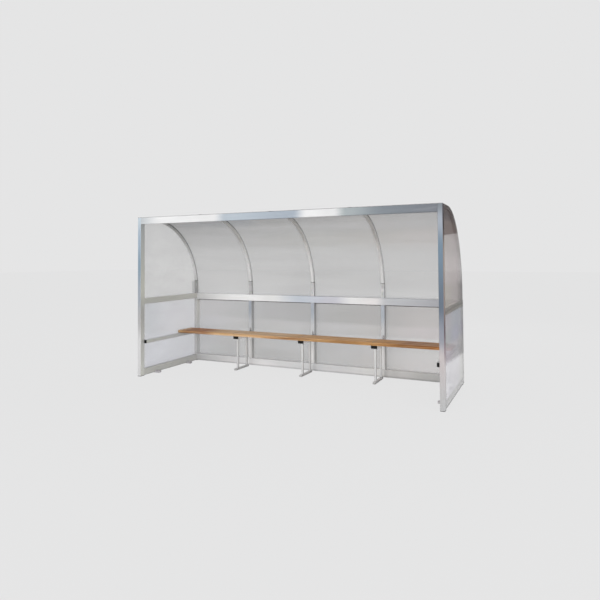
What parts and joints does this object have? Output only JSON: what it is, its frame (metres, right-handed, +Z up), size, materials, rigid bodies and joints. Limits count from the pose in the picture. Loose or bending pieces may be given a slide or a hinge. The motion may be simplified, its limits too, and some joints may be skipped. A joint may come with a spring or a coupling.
{
  "type": "sports dugout",
  "caption": "Open-fronted team shelter with a curved clear roof, a metal tube frame, clear end and back walls and a slatted wooden bench.",
  "frame": {"origin": "middle of the footprint, on the ground", "axes": "+X along the shelter's length, +Y from the open front to the back wall, +Z up"},
  "size_m": [4, 1.38, 2.13],
  "materials": {
    "alu": "mill finish, satin",
    "fittings": "galvanised, dull",
    "clear_sheet": "clear, slightly milky",
    "boards": "oiled",
    "caps": "matt"
  },
  "bodies": {
    "root": {"front_post_left": "alu", "front_post_right": "alu", "header_beam": "alu", "bottom_rail_left": "alu", "bottom_rail_right": "alu", "bottom_rail_rear": "alu", "mid_rail_left": "alu", "mid_rail_right": "alu", "mid_rail_rear": "alu", "rear_post_left": "alu", "rear_post_right": "alu", "rear_posts_middle": "alu", "rib_left": "alu", "rib_1": "alu", "rib_2": "alu", "rib_3": "alu", "rib_right": "alu", "rib_sockets": "fittings", "roof_sheet_1": "clear_sheet", "roof_sheet_2": "clear_sheet", "roof_sheet_3": "clear_sheet", "roof_sheet_4": "clear_sheet", "back_sheet_1": "clear_sheet", "back_sheet_2": "clear_sheet", "back_sheet_3": "clear_sheet", "back_sheet_4": "clear_sheet", "side_sheet_upper_left": "clear_sheet", "side_sheet_upper_right": "clear_sheet", "side_sheet_lower_left": "clear_sheet", "side_sheet_lower_right": "clear_sheet", "seat_board_front": "boards", "seat_board_middle": "boards", "seat_board_rear": "boards", "seat_bearer_left": "alu", "seat_bearer_right": "alu", "seat_bearers_middle": "alu", "bench_stand_1": "alu", "bench_stand_2": "alu", "bench_stand_3": "alu", "bearer_caps": "caps", "corner_pads": "caps", "ground_lugs": "fittings"}
  },
  "joints": []
}
